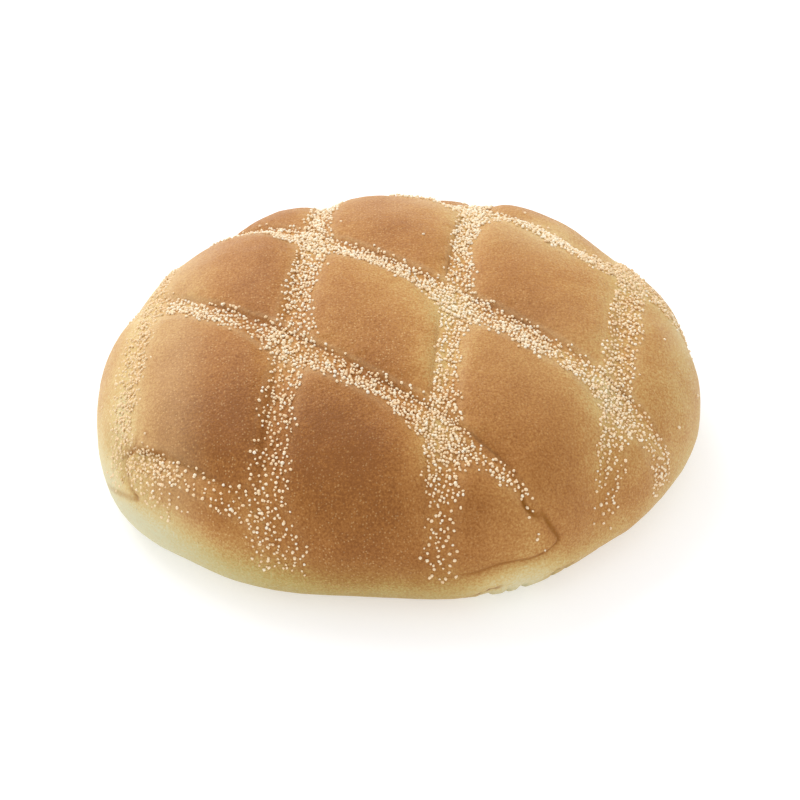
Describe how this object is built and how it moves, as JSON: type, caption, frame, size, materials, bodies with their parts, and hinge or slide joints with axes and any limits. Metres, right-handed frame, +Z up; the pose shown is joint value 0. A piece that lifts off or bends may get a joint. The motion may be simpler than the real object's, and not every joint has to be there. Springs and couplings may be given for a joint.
{
  "type": "hamburger bun",
  "caption": "Round uncut hamburger bun, domed above and flat beneath, its crust parted by crossing pressed grooves into a lattice of pillow-shaped lobes.",
  "frame": {"origin": "middle of the flat underside, in the plane the bun rests on", "axes": "+Z up through the dome; +X along the longest width of the uneven plan outline; +Y away from the paler, less baked side"},
  "size_m": [0.1202, 0.1122, 0.0379],
  "materials": {
    "crust": "soft baked bread crust with a slight sheen: golden brown on the lobes, paler towards the foot, with fine ivory grains in the grooves"
  },
  "bodies": {
    "root": {"bun": "crust"}
  },
  "joints": []
}
